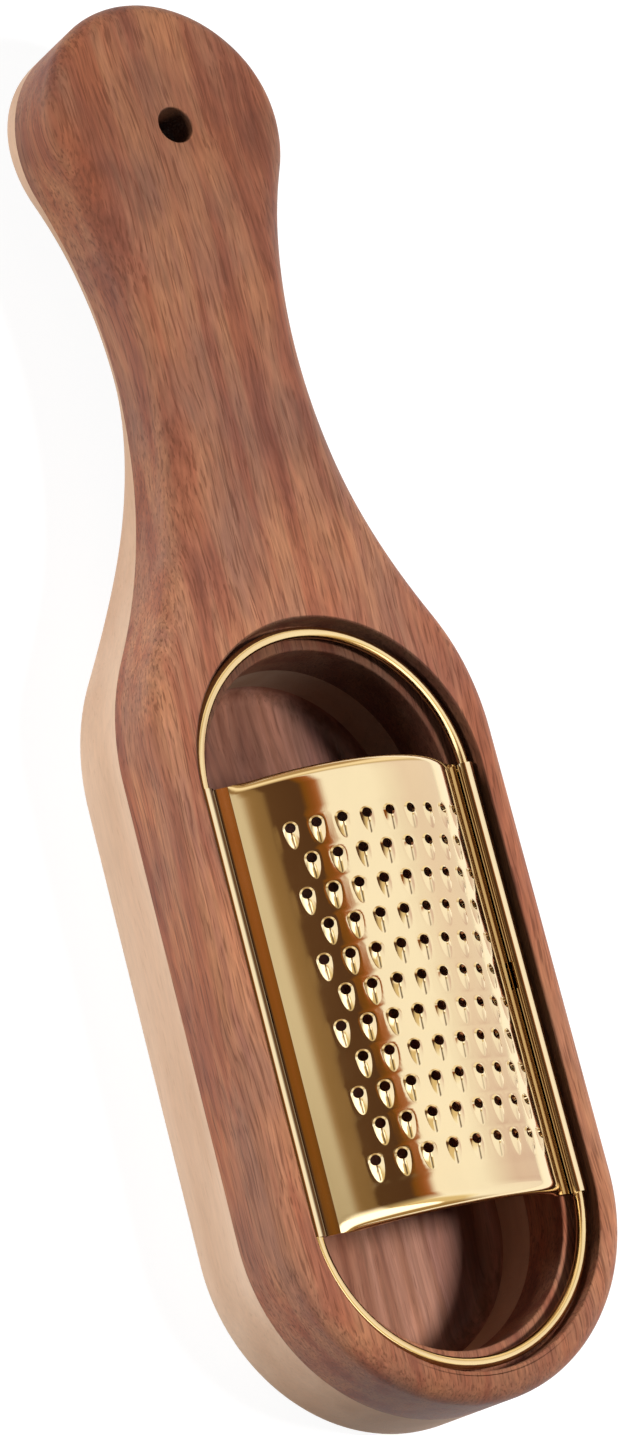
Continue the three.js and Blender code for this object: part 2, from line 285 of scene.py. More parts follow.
def add(tree, kind, settings=None, inputs=None, stops=None):
    """Adds a node with its settings and its inputs, each one a value or another node's output."""
    node = tree.nodes.new("ShaderNode" + kind)
    for key, value in (settings or {}).items():
        setattr(node, key, value)
    for key, value in (inputs or {}).items():
        if isinstance(value, bpy.types.NodeSocket):
            tree.links.new(value, node.inputs[key])
        else:
            node.inputs[key].default_value = value
    if stops:
        ramp = node.color_ramp.elements
        while len(ramp) < len(stops):
            ramp.new(1)
        for stop, (position, colour) in zip(ramp, stops):
            stop.position, stop.color = position, colour
    return node


def new_material(name):
    material = bpy.data.materials.new(name)
    material.use_nodes = True
    material.node_tree.nodes.clear()
    return material, material.node_tree


def grey(value):
    return (value, value, value, 1)


# How wood grain runs: the sizes of its sway and ripple in mm along X, Y and Z and how far they
# carry it, how soft its pores are, how far painted light and shade reach along the board, how
# dark the hanging hole's wall is painted as shade, and how it takes the oil
sway_size, sway_reach = (45, 150, 45), 16
ripple_size, ripple_reach = (8, 22, 8), 1.7
noise_low, noise_high = 0.3, 0.7
pore_fade = 0.07
painted_light_reach = 145
hole_fade, hole_shade = (0.05 * mm, 0.3 * mm), 0.3
fibre_bump, fibre_relief = 0.35, 0.08 * mm
gloss_spread = 0.06


def oiled_wood(name, offset, bands, fibre, pores, patches, painted_light_along, pocket_shade, roughness):
    """Straight-grained hardwood in solid form, its grain along Y, sanded and oiled. Bands are the
    growth rings, 4 to 9 mm wide, fibres are under 1 mm, and pores are short dark lines. Tints at
    places along the board, in mm from its middle, are painted light and shade. The pocket's walls
    and ledge are painted darker as shade, by one share at the catch end and another at the handle,
    and the wall of the hanging hole is painted dark as shade too."""
    material, tree = new_material(name)
    metres = add(tree, "TexCoord").outputs["Object"]
    place = add(tree, "Mapping", inputs={
        "Vector": metres, "Location": offset, "Scale": (1000, 1000, 1000)}).outputs["Vector"]

    def wander(size, detail):
        scaled = add(tree, "VectorMath", {"operation": "MULTIPLY"}, {
            0: place, 1: [1 / length for length in size]})
        noise = add(tree, "TexNoise", inputs={
            "Vector": scaled.outputs["Vector"], "Scale": 1, "Detail": detail})
        return add(tree, "VectorMath", {"operation": "SUBTRACT"}, {
            0: noise.outputs["Color"], 1: (0.5, 0.5, 0.5)}).outputs["Vector"]

    grain = add(tree, "VectorMath", {"operation": "MULTIPLY_ADD"}, {
        0: wander(sway_size, 2), 1: (sway_reach, 0, sway_reach), 2: place}).outputs["Vector"]
    grain = add(tree, "VectorMath", {"operation": "MULTIPLY_ADD"}, {
        0: wander(ripple_size, 1), 1: (ripple_reach, 0, ripple_reach), 2: grain}
        ).outputs["Vector"]

    def figure(size, detail, rough=0.5):
        scaled = add(tree, "VectorMath", {"operation": "DIVIDE"}, {0: grain, 1: size})
        return add(tree, "TexNoise", inputs={
            "Vector": scaled.outputs["Vector"], "Scale": 1, "Detail": detail,
            "Roughness": rough}).outputs["Fac"]

    colour = add(tree, "ValToRGB", inputs={"Fac": figure(bands["size"], 3)},
                 stops=bands["stops"]).outputs["Color"]
    patch = add(tree, "ValToRGB", inputs={"Fac": figure(patches["size"], 3)},
                stops=patches["tints"]).outputs["Color"]
    # Painted light and shade: tints at places along the board
    along = add(tree, "SeparateXYZ", inputs={"Vector": place}).outputs["Y"]
    along = add(tree, "MapRange", inputs={
        "Value": along, "From Min": offset[1] - painted_light_reach,
        "From Max": offset[1] + painted_light_reach}).outputs["Result"]
    painted_light_tint = add(tree, "ValToRGB", inputs={"Fac": along}, stops=[
        (0.5 + y / (2 * painted_light_reach), (*tint, 1)) for y, tint in painted_light_along]).outputs["Color"]
    fibres = figure(fibre["size"], 3, 0.6)
    fibre_tone = add(tree, "MapRange", inputs={
        "Value": fibres, "From Min": noise_low, "From Max": noise_high,
        "To Min": 1 - fibre["depth"], "To Max": 1 + fibre["depth"]}).outputs["Result"]
    for tint in (patch, painted_light_tint, fibre_tone):
        colour = add(tree, "Mix", {"data_type": "RGBA", "blend_type": "MULTIPLY"}, {
            "Factor": 1, 6: colour, 7: tint}).outputs[2]
    pore = add(tree, "MapRange", inputs={
        "Value": figure(pores["size"], 1), "From Min": pores["from"],
        "From Max": pores["from"] + pore_fade}).outputs["Result"]
    pore_share = add(tree, "Math", {"operation": "MULTIPLY"}, {0: pore, 1: pores["share"]})
    colour = add(tree, "Mix", {"data_type": "RGBA"}, {
        "Factor": pore_share.outputs["Value"], 6: colour, 7: pores["colour"]}).outputs[2]

    # Painted shade: the hanging hole's wall is darkened nearly to black, and the pocket's walls and
    # ledge by a share that runs from the catch end to the handle
    from_hole = add(tree, "VectorMath", {"operation": "MULTIPLY"}, {0: metres, 1: (1, 1, 0)})
    from_hole = add(tree, "VectorMath", {"operation": "DISTANCE"}, {
        0: from_hole.outputs["Vector"], 1: (0, hole_y, 0)}).outputs["Value"]
    painted_hole_shade = add(tree, "MapRange", inputs={
        "Value": from_hole, "From Min": hole_radius + hole_fade[0],
        "From Max": hole_radius + hole_fade[1], "To Min": hole_shade, "To Max": 1})
    from_axis = add(tree, "VectorMath", {"operation": "SUBTRACT"}, {
        0: metres, 1: (0, rebate_y, 0)})
    from_axis = add(tree, "SeparateXYZ", inputs={"Vector": from_axis.outputs["Vector"]}).outputs
    pocket_shade_by_end = add(tree, "MapRange", inputs={
        "Value": from_axis["Y"], "From Min": -rebate_half_straight,
        "From Max": rebate_half_straight, "To Min": pocket_shade[0], "To Max": pocket_shade[1]})
    beyond = add(tree, "Math", {"operation": "ABSOLUTE"}, {0: from_axis["Y"]})
    beyond = add(tree, "Math", {"operation": "SUBTRACT"}, {
        0: beyond.outputs["Value"], 1: rebate_half_straight})
    beyond = add(tree, "Math", {"operation": "MAXIMUM"}, {0: beyond.outputs["Value"], 1: 0})
    from_axis = add(tree, "CombineXYZ", inputs={
        "X": from_axis["X"], "Y": beyond.outputs["Value"]}).outputs["Vector"]
    from_axis = add(tree, "VectorMath", {"operation": "LENGTH"}, {0: from_axis})
    painted_pocket_shade = add(tree, "MapRange", inputs={
        "Value": from_axis.outputs["Value"], "From Min": rebate_half_width + arris / 2,
        "From Max": rebate_half_width + arris, "To Min": pocket_shade_by_end.outputs["Result"], "To Max": 1})
    for share in (painted_hole_shade, painted_pocket_shade):
        colour = add(tree, "Mix", {"data_type": "RGBA", "blend_type": "MULTIPLY"}, {
            "Factor": 1, 6: colour, 7: share.outputs["Result"]}).outputs[2]

    relief = add(tree, "Math", {"operation": "SUBTRACT"}, {0: fibres, 1: pore})
    bump = add(tree, "Bump", inputs={
        "Height": relief.outputs["Value"], "Strength": fibre_bump, "Distance": fibre_relief})
    gloss = add(tree, "MapRange", inputs={
        "Value": fibres, "From Min": noise_low, "From Max": noise_high,
        "To Min": roughness - gloss_spread, "To Max": roughness + gloss_spread})
    shader = add(tree, "BsdfPrincipled", inputs={
        "Base Color": colour, "Normal": bump.outputs["Normal"], "Specular IOR Level": 0.25,
        "Roughness": gloss.outputs["Result"]})
    add(tree, "OutputMaterial", inputs={"Surface": shader.outputs["BSDF"]})
    return material


# Brown walnut-like hardwood, sanded and oiled: satin, with reddish and grey-brown streaks. It is
# painted paler along the head and darker at the catch end and towards the handle, as light and
# shade, and its pocket walls are painted darker as shade, most at the handle end
dark_wood = oiled_wood(
    "oiled_dark_hardwood", (13, 40, 5),
    bands={"size": (5, 90, 5), "stops": [
        (0.30, paint("874F3B")), (0.42, paint("975D46")), (0.50, paint("A0694F")),
        (0.60, paint("A57155")), (0.72, paint("986550"))]},
    fibre={"size": (0.6, 9, 0.6), "depth": 0.27},
    pores={"size": (0.42, 10, 0.42), "from": 0.57, "share": 0.5, "colour": paint("5E3424")},
    patches={"size": (13, 26, 13), "tints": [
        (0.36, (0.82, 0.85, 0.93, 1)), (0.5, grey(1)), (0.64, (1.14, 1.12, 1.02, 1))]},
    painted_light_along=[(-145, (0.76, 0.72, 0.72)), (-122, (1.1, 1.12, 1.16)), (10, (1.12, 1.15, 1.2)),
           (48, (0.87, 0.89, 0.97)), (80, (0.9, 0.92, 0.98)), (115, (0.82, 0.8, 0.8)),
           (145, (0.95, 0.93, 0.93))],
    pocket_shade=(1, 0.36),
    roughness=0.52)

upper, home_u, out_u, cut_rim, top_rim = half_board(True)
rebate = stadium(upper, home_u, out_u, rebate_half_width, board_height)
ledge = pocket_half_width - rebate_half_width
rebate_top, pocket_low = cut(upper, rebate, home_u, out_u, (
    broken_edge(0, board_height)
    + [(0, ledge_height + corner), (-corner_bow, ledge_height + corner_bow),
       (-corner, ledge_height)]
    + broken_edge(ledge, ledge_height)
    + [(ledge, glue_height)]))
bore = circle(upper, home_u, out_u, board_height)
bore_top, bore_low = cut(upper, bore, home_u, out_u,
                         broken_edge(0, board_height) + [(0, glue_height)])
fill(upper, top_rim, rebate_top, bore_top)
fill(upper, cut_rim, pocket_low, bore_low)
upper_layer = finished(upper, "dark_layer", dark_wood)
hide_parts("upper_board")
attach(upper_layer, "board")


# Light lower layer: a pale, even hardwood under the dark one. The pocket goes through it too,
# and a shallow seat is routed round the pocket from below for the floor panel.
seat_half_width = 31.7 * mm
panel_height = 7.5 * mm
strip = 3 * mm

# Pale beech-like hardwood, sanded and oiled: even and fine-grained, hardly any pores. It is
# painted browner at the catch end and along the handle as shade, and its pocket walls darker as
# shade
light_wood = oiled_wood(
    "oiled_light_hardwood", (70, 10, 30),
    bands={"size": (9, 190, 9), "stops": [
        (0.30, paint("DDB798")), (0.45, paint("E4C1A3")), (0.6, paint("EAC9AC")),
        (0.75, paint("E0BB9C"))]},
    fibre={"size": (0.6, 7, 0.6), "depth": 0.05},
    pores={"size": (0.4, 5, 0.4), "from": 0.64, "share": 0.2, "colour": paint("B58A6A")},
    patches={"size": (12, 30, 12), "tints": [
        (0.36, (0.95, 0.94, 0.93, 1)), (0.5, grey(1)), (0.64, (1.02, 1.02, 1.03, 1))]},
    painted_light_along=[(-145, (0.8, 0.66, 0.56)), (-120, (1.08, 1.08, 1.1)), (-10, (1.02, 1.02, 1.03)),
           (45, (0.84, 0.78, 0.75))],
    pocket_shade=(0.75, 0.4),
    roughness=0.55)

lower, home_l, out_l, cut_rim, low_rim = half_board(False)
pocket = stadium(lower, home_l, out_l, pocket_half_width, glue_height)
seat = seat_half_width - pocket_half_width
pocket_top, seat_low = cut(lower, pocket, home_l, out_l, [
    (0, glue_height), (0, panel_height), (seat, panel_height), (seat, arris),
    (seat + arris, 0), (seat + arris + support, 0)])
bore = circle(lower, home_l, out_l, glue_height)
bore_top, bore_low = cut(lower, bore, home_l, out_l, [
    (0, glue_height), (0, lambda y: underside(y) + arris), (arris, underside),
    (arris + support, underside)])
fill(lower, cut_rim, pocket_top, bore_top)
below = fill(lower, low_rim, seat_low, bore_low)

# The underside is cut across in strips, so that it can follow the hollow under the grip
strip_y = catch_end + hollow_start
while strip_y < handle_end:
    around = {part for face in below for part in (*face.verts, *face.edges)}
    sliced = bmesh.ops.bisect_plane(lower, geom=[*around, *below], plane_co=(0, strip_y, 0),
                                    plane_no=(0, 1, 0))
    below = [part for part in sliced["geom"] if isinstance(part, bmesh.types.BMFace)]
    for part in sliced["geom_cut"]:
        if isinstance(part, bmesh.types.BMVert):
            part.co.z = underside(part.co.y)
    strip_y += strip
lower_layer = finished(lower, "light_layer", light_wood)
blank.free()
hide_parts("lower_board")
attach(lower_layer, "board")


# Floor panel: the dark wood again, let in from below and flush with the underside. Its top is
# dished with a cove, so that what falls into the pocket can be tipped out.
panel_half_width = 31.4 * mm
dish_floor = 4 * mm
cove = panel_height - dish_floor
cove_steps = 10

# The dark hardwood again, with finer and straighter bands, painted lighter at the catch end as
# light falling into the pocket and darker towards the handle as shade under the plate
panel_wood = oiled_wood(
    "oiled_dark_hardwood_floor", (-60, 95, 50),
    bands={"size": (4, 170, 4), "stops": [
        (0.30, paint("774A3B")), (0.45, paint("8E604E")), (0.6, paint("A37362")),
        (0.75, paint("80594A"))]},
    fibre={"size": (0.8, 20, 0.8), "depth": 0.22},
    pores={"size": (0.4, 9, 0.4), "from": 0.62, "share": 0.3, "colour": paint("4C281E")},
    patches={"size": (9, 60, 9), "tints": [
        (0.36, (0.8, 0.78, 0.85, 1)), (0.5, grey(1)), (0.64, (1.15, 1.1, 1.05, 1))]},
    painted_light_along=[(-110, (1.25, 1.33, 1.3)), (-25, (0.76, 0.77, 0.78))],
    pocket_shade=(1, 1),
    roughness=0.5)

panel, home_p, out_p = new_outline()
outline = stadium(panel, home_p, out_p, panel_half_width, 0)
dish = pocket_half_width - panel_half_width
cove_angles = [math.pi / 2 * step / cove_steps for step in range(cove_steps + 1)]
panel_low, panel_top = cut(panel, outline, home_p, out_p, (
    [(-arris - support, 0), (-arris, 0), (0, arris), (0, panel_height), (dish, panel_height)]
    + [(dish - cove * (1 - math.cos(angle)), panel_height - cove * math.sin(angle))
       for angle in cove_angles[1:]]
    + [(dish - cove - support, dish_floor)]))
fill(panel, panel_low)
fill(panel, panel_top)
pocket_floor = finished(panel, "pocket_floor", panel_wood)
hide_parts("floor_panel")
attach(pocket_floor, "board")


# Wire loop: polished brass-coloured wire bent into one loop that lies on the rebate's ledge. The
# insert lifts straight out with it.
wire_radius = 1.15 * mm
wire_half_width = 30.6 * mm
wire_height = 30.8 * mm
wire_sides = 20
bend_steps = 48

# How the metal is polished: sizes of its rubbing marks and of its clouds in mm along X, Y and Z,
# and what a cloud does to its gloss and tint
rub_size, rub_depth = (0.35, 5, 0.35), 0.01 * mm
cloud_size, cloud_low, cloud_high = (9, 14, 9), 0.35, 0.65
cloud_gloss, cloud_tint = (0.75, 1.3), 0.96
# Dark brown that is painted on as shade and dark reflection
painted_shade_colour = paint("4E2A0C")


def gold_metal(name, colour, roughness, scratch):
    """Polished brass-coloured metal: mirror-like, with faint rubbing marks and a slightly uneven
    gloss, too fine to see one by one and drawn a little coarser. A mesh's attribute says where
    dark brown is painted on as shade and dark reflection."""
    material, tree = new_material(name)
    place = add(tree, "TexCoord").outputs["Object"]
    place = add(tree, "Mapping", inputs={"Vector": place, "Scale": (1000, 1000, 1000)}
                ).outputs["Vector"]
    rubbed = add(tree, "VectorMath", {"operation": "DIVIDE"}, {0: place, 1: rub_size})
    rubbed = add(tree, "TexNoise", inputs={
        "Vector": rubbed.outputs["Vector"], "Scale": 1, "Detail": 2})
    cloudy = add(tree, "VectorMath", {"operation": "DIVIDE"}, {0: place, 1: cloud_size})
    cloudy = add(tree, "TexNoise", inputs={
        "Vector": cloudy.outputs["Vector"], "Scale": 1, "Detail": 3}).outputs["Fac"]
    gloss = add(tree, "MapRange", inputs={
        "Value": cloudy, "From Min": cloud_low, "From Max": cloud_high,
        "To Min": roughness * cloud_gloss[0], "To Max": roughness * cloud_gloss[1]})
    tint = add(tree, "ValToRGB", inputs={"Fac": cloudy}, stops=[
        (cloud_low, tuple(part * cloud_tint for part in colour)), (cloud_high, colour)])
    painted_shade = add(tree, "Attribute", {"attribute_name": "painted_shade"}).outputs["Fac"]
    tint = add(tree, "Mix", {"data_type": "RGBA"}, {
        "Factor": painted_shade, 6: tint.outputs["Color"], 7: painted_shade_colour})
    bump = add(tree, "Bump", inputs={
        "Height": rubbed.outputs["Fac"], "Strength": scratch, "Distance": rub_depth})
    shader = add(tree, "BsdfPrincipled", inputs={
        "Base Color": tint.outputs[2], "Metallic": 1,
        "Roughness": gloss.outputs["Result"], "Normal": bump.outputs["Normal"]})
    add(tree, "OutputMaterial", inputs={"Surface": shader.outputs["BSDF"]})
    return material


# Drawn wire, polished: brass-coloured and bright, and softer in its shine than the sheet
wire_metal = gold_metal("polished_brass_wire", paint("EFD19A"), 0.12, 0.1)

loop = bmesh.new()
bmesh.ops.create_circle(loop, segments=wire_sides, radius=wire_radius, matrix=(
    Matrix.Translation((wire_half_width, rebate_y + rebate_half_straight, wire_height))
    @ Matrix.Rotation(math.pi / 2, 4, "X")))
section = loop.verts[:] + loop.edges[:]
for side in (1, -1):
    centre = (0, rebate_y + side * rebate_half_straight, wire_height)
    section = bmesh.ops.spin(loop, geom=section, cent=centre, axis=(0, 0, 1), angle=math.pi,
                             steps=bend_steps, use_duplicate=False)["geom_last"]
    rim = [part for part in section if isinstance(part, bmesh.types.BMEdge)]
    made = bmesh.ops.extrude_edge_only(loop, edges=rim)["geom"]
    ends = [part for part in made if isinstance(part, bmesh.types.BMVert)]
    bmesh.ops.translate(loop, verts=ends, vec=(0, -side * 2 * rebate_half_straight, 0))
    section = ends + [part for part in made if isinstance(part, bmesh.types.BMEdge)
                      and set(ends).issuperset(part.verts)]
bmesh.ops.remove_doubles(loop, verts=loop.verts, dist=merge)
wire_loop = finished(loop, "wire_loop", wire_metal)
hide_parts("wire_frame")
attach(wire_loop, "insert")


# Grating plate: thin gold-coloured sheet, laid out flat, punched, and bent. X is the place
# across the flat sheet, Y along it and Z out of it. Its sides are hemmed round the wire, and its
# ends are turned down over the arch.
sheet = 0.5 * mm
plate_length = 88 * mm
plate_y = rebate_y - 0.8 * mm
arch_rise = 12.9 * mm
crease_in, crease_up = 4.7 * mm, 1.2 * mm
bend_in, bend_up = 2.5 * mm, 0.2 * mm
hem_radius = 1.6 * mm
crease_radius, bend_radius = 0.5 * mm, 0.8 * mm
lip_end = math.radians(168)
lip_turn = math.radians(25)
end_turn = 2 * mm
end_fade = 24

crease_x = wire_half_width - crease_in
arch_radius = (crease_x ** 2 + arch_rise ** 2) / (2 * arch_rise)
arch_half = math.asin(crease_x / arch_radius)
flange = Vector((crease_in - bend_in, crease_up - bend_up))
flange_fall = math.atan2(flange.y, flange.x)
hem_reach = math.hypot(bend_in, bend_up)
hem_meet = math.pi - math.atan2(bend_up, bend_in) + math.acos(hem_radius / hem_reach)
bend_turn = 3 * math.pi / 2 - hem_meet - flange_fall
crease_trim = crease_radius * math.tan((arch_half - flange_fall) / 2)
bend_trim = bend_radius * math.tan(bend_turn / 2)
hem_turn = math.tau + lip_end - lip_turn - hem_meet

# Stretches of the sheet from the middle of the arch outwards: length, turn and steps
stretches = [
    (arch_radius * arch_half - crease_trim, -arch_half, 0),
    (crease_radius * (arch_half - flange_fall), arch_half - flange_fall, 6),
    (flange.length - crease_trim - bend_trim, 0, 2),
    (bend_radius * bend_turn, -bend_turn, 5),
    (math.sqrt(hem_reach ** 2 - hem_radius ** 2) - bend_trim, 0, 2),
    (hem_radius * hem_turn, hem_turn, 20),
    (hem_radius * lip_turn, lip_turn, 5),
]
arch_length = stretches[0][0]
turn_start = plate_length / 2 - sheet / 2 - end_turn
flat_end = turn_start + end_turn * math.pi / 2

# Teeth: staggered rows of drops punched up from the sheet, each a round hole behind a ridge
# whose tail points to the catch end
tooth_pitch, row_pitch = 5.05 * mm, 6.5 * mm
rows, teeth_in_row = 11, 9
cell_tail, cell_front = 4.6 * mm, 1.9 * mm
tooth_hole, tooth_rim = 1.02 * mm, 1.2 * mm
tooth_half_width, tooth_tail, tooth_front = 1.5 * mm, 4.25 * mm, 1.35 * mm
tooth_height = 0.7 * mm
swell = 0.035 * mm
groove_share = 0.6
cell_sides = 6
crowding = 1.15
plate_sharp_angle = math.radians(50)


def bent(flat):
    """Where a place of the flat sheet is once the sheet is bent and hemmed."""
    x, z, heading = 0.0, wire_height + crease_up + arch_rise, 0.0
    left = abs(flat.x)
    for length, turned, _ in stretches:
        part = min(left, length)
        if turned:
            radius, angle = length / turned, turned * part / length
            x += radius * (math.sin(heading + angle) - math.sin(heading))
            z -= radius * (math.cos(heading + angle) - math.cos(heading))
            heading += angle
        else:
            x += part * math.cos(heading)
            z += part * math.sin(heading)
        left -= part
        if left <= 0:
            break
    over = min(max((abs(flat.y) - turn_start) / end_turn, 0), math.pi / 2)
    eased = over * (1 - min(abs(flat.x) / arch_length, 1) ** end_fade)
    rise = flat.z * math.cos(eased) - end_turn * (1 - math.cos(eased))
    along = min(abs(flat.y), turn_start) + end_turn * math.sin(over) + flat.z * math.sin(eased)
    side = math.copysign(1, flat.x)
    return Vector((side * (x - rise * math.sin(heading)),
                   plate_y + math.copysign(along, flat.y),
                   z + rise * math.cos(heading)))


def around_tooth(step):
    """Way to a point of a tooth's rings. Step 0 is the tail, and the steps crowd beside it."""
    turned = step / cell_sides
    if turned < 1:
        turned **= crowding
    elif turned > 3:
        turned = 4 - (4 - turned) ** crowding
    angle = math.pi / 2 * (turned - 1)
    return Vector((math.cos(angle), math.sin(angle), 0))


def tooth_outline(step):
    """Foot of a tooth: half a circle in front, and sides that run together into the tail."""
    way = around_tooth(step)
    way.y *= tooth_front if way.y > 0 else tooth_tail
    way.x *= tooth_half_width
    return way


def cell_outline(step):
    """Frame of the patch of sheet that a tooth is punched from, one pitch wide and one row long."""
    side, along = divmod((step + cell_sides / 2) % (4 * cell_sides), cell_sides)
    along = along / cell_sides * 2 - 1
    across, up = [(along, -1), (1, along), (-along, 1), (-1, -along)][int(side)]
    middle = (cell_front - cell_tail) / 2
    return Vector((across * tooth_pitch / 2, middle + up * (cell_front + cell_tail) / 2, 0))


punched = bmesh.new()
step_layer = punched.verts.layers.int.new("step")
painted_shade_layer = punched.verts.layers.float.new("painted_shade")
bmesh.ops.create_circle(punched, segments=4 * cell_sides, radius=tooth_pitch)
punched.verts.ensure_lookup_table()
for point in punched.verts:
    angle = math.atan2(point.co.y, point.co.x) + math.pi / 2
    point[step_layer] = round(angle / math.tau * 4 * cell_sides) % (4 * cell_sides)
top = sheet / 2


def on_tooth(step, place):
    """Raises a place to the tooth's surface: a low cone round the hole, and behind it a roof
    that falls to the tail and has a groove along its ridge."""
    if place.y > 0:
        height = 1 - math.hypot(place.x / tooth_half_width, place.y / tooth_front)
    else:
        width = tooth_half_width * math.sqrt(max(1 - (place.y / tooth_tail) ** 2, 0))
        height = (1 + place.y / tooth_tail) * (1 - min(abs(place.x) / max(width, merge), 1))
    if step == 0:
        height *= 1 - groove_share
    return place + Vector((0, 0, top + tooth_height * height))


def flank(share):
    """Ring of a tooth's flank: share 0 is its foot and 1 the rim round the hole."""
    return lambda step: on_tooth(
        step, tooth_outline(step).lerp(around_tooth(step) * tooth_rim, share))


def beside(share, height):
    """Ring of the sheet beside a tooth, drawn up a little at the sides: share 0 is the cell's
    frame and 1 the tooth's foot."""
    return lambda step: (cell_outline(step).lerp(tooth_outline(step), share)
                         + Vector((0, 0, top + height * abs(around_tooth(step).x))))


def hole_edge(step):
    return on_tooth(step, around_tooth(step) * tooth_hole)


# A tooth's rings, each from the sheet around it inwards: up the flank to the rim, down through
# the hole, and back to the frame of the cell under the sheet
creased = [flank(0.15), flank(0.4), flank(0.7), flank(1), hole_edge]
tooth_rings = [
    beside(0, 0), beside(0.5, swell), beside(0.96, swell / 2), flank(0.04), *creased,
    lambda step: around_tooth(step) * tooth_hole - Vector((0, 0, top)),
    lambda step: cell_outline(step) - Vector((0, 0, top)),
]
for point in punched.verts:
    point.co = tooth_rings[0](point[step_layer])
ring = punched.edges[:]
for place in tooth_rings[1:]:
    ring = next_ring(punched, ring, lambda point: place(point[step_layer]))
    # The groove along each tooth's ridge gets painted shade
    for point in {end for edge in ring for end in edge.verts}:
        if point[step_layer] == 0 and place in creased:
            point[painted_shade_layer] = 1
punched.verts.layers.int.remove(punched.verts.layers.int["step"])
tooth_mesh = bpy.data.meshes.new("punched_tooth")
punched.to_mesh(tooth_mesh)
punched.free()

# Nodes of the flat sheet: across it from lip to lip, and along it from end to end
tooth_step = tooth_pitch / cell_sides
teeth_half = tooth_pitch * teeth_in_row / 2
margin_steps, catch_steps, handle_steps, turn_steps = 8, 4, 6, 8
nodes_across = [tooth_step * k for k in range(round(teeth_half / tooth_step) + 1)]
nodes_across += [teeth_half + (arch_length - teeth_half) * (k + 1) / margin_steps
                 for k in range(margin_steps)]
for length, _, steps in stretches[1:]:
    nodes_across += [nodes_across[-1] + length * (k + 1) / steps for k in range(steps)]
flat_half = nodes_across[-1]
lip_start = nodes_across[-1 - stretches[-1][2]]
nodes_across = [-place for place in reversed(nodes_across[1:])] + nodes_across

rows_start = -(rows - 1) / 2 * row_pitch - cell_tail
rows_end = (rows - 1) / 2 * row_pitch + cell_front


def spaced(start, end, steps):
    """Even places from start up to, but not including, end."""
    return [start + (end - start) * k / steps for k in range(steps)]


nodes_along = (
    spaced(-flat_end, -turn_start, turn_steps) + spaced(-turn_start, rows_start, catch_steps)
    + spaced(rows_start, rows_end, rows * cell_sides) + spaced(rows_end, turn_start, handle_steps)
    + spaced(turn_start, flat_end, turn_steps) + [flat_end])

# Painted shade and dark reflection darken the lips and the valleys between flange and hem, mostly
# on the left, and the teeth's ridges, less and less towards the right
valley_start = sum(length for length, _, _ in stretches[:4]) - bend_radius * bend_turn / 3
valley_end = sum(length for length, _, _ in stretches[:5]) + 0.5 * mm
left_lip, right_lip = 1.95 * mm - flat_half, flat_half - 1.2 * mm
left_lip_shade, left_shade, right_shade = 0.93, 0.8, 0.35
ridge_fade_start, ridge_fade_end, ridge_fade = -2 * mm, 9 * mm, 0.85
notch_y, notch_half_length = 0.275 * mm, 2.75 * mm

flat = bmesh.new()
painted_shade_layer = flat.verts.layers.float.new("painted_shade")
bmesh.ops.create_grid(flat, x_segments=len(nodes_across) - 1,
                      y_segments=len(nodes_along) - 1, size=0.5)
for point in flat.verts:
    column = round((point.co.x + 0.5) * (len(nodes_across) - 1))
    line_number = round((point.co.y + 0.5) * (len(nodes_along) - 1))
    point.co = nodes_across[column], nodes_along[line_number], top
    if point.co.x < left_lip:
        point[painted_shade_layer] = left_lip_shade
    elif valley_start < abs(point.co.x) < valley_end or point.co.x > right_lip:
        point[painted_shade_layer] = left_shade if point.co.x < 0 else right_shade
tooth_places = []
for row in range(rows):
    count = teeth_in_row - row % 2
    row_y = ((rows - 1) / 2 - row) * row_pitch
    tooth_places += [((k - (count - 1) / 2) * tooth_pitch, row_y) for k in range(count)]


def is_gone(face):
    """Faces of the flat sheet that a tooth's own patch takes the place of, or that are notched
    out of a lip at mid-length."""
    middle = face.calc_center_median()
    if abs(middle.x) > lip_start:
        return abs(middle.y - notch_y) < notch_half_length
    if abs(middle.x) > teeth_half or not rows_start < middle.y < rows_end:
        return False
    row = math.floor((rows_end - middle.y) / row_pitch)
    return row % 2 == 0 or abs(middle.x) < teeth_half - tooth_pitch / 2


gone = [face for face in flat.faces if is_gone(face)]
bmesh.ops.delete(flat, geom=gone, context="FACES")
made = bmesh.ops.duplicate(flat, geom=flat.verts[:] + flat.edges[:] + flat.faces[:])["geom"]
under = [part for part in made if isinstance(part, bmesh.types.BMVert)]
bmesh.ops.translate(flat, verts=under, vec=(0, 0, -sheet))


def is_outer(edge):
    """Border of the sheet, but not of the room that is left for the teeth."""
    middle = (edge.verts[0].co + edge.verts[1].co) / 2
    return edge.is_boundary and not (
        abs(middle.x) < teeth_half + merge and rows_start - merge < middle.y < rows_end + merge)


bmesh.ops.bridge_loops(flat, edges=[edge for edge in flat.edges if is_outer(edge)])
for tooth_x, tooth_y in tooth_places:
    known = len(flat.verts)
    flat.from_mesh(tooth_mesh)
    flat.verts.ensure_lookup_table()
    bmesh.ops.translate(flat, verts=flat.verts[known:], vec=(tooth_x, tooth_y, 0))
    # The painted shade on the ridges fades towards the right
    for point in flat.verts[known:]:
        point[painted_shade_layer] *= 1 - ridge_fade * ease(tooth_x, ridge_fade_start, ridge_fade_end)
bmesh.ops.remove_doubles(flat, verts=flat.verts, dist=merge)
for point in flat.verts:
    point.co = bent(point.co)
bpy.data.meshes.remove(tooth_mesh)

# Rolled sheet, plated and polished like a mirror: pale gold
plate_metal = gold_metal("polished_gold_coloured_sheet", paint("F2DAAC"), 0.07, 0.1)
plate = finished(flat, "grating_sheet", plate_metal, plate_sharp_angle)
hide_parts("grater_plate")
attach(plate, "insert")


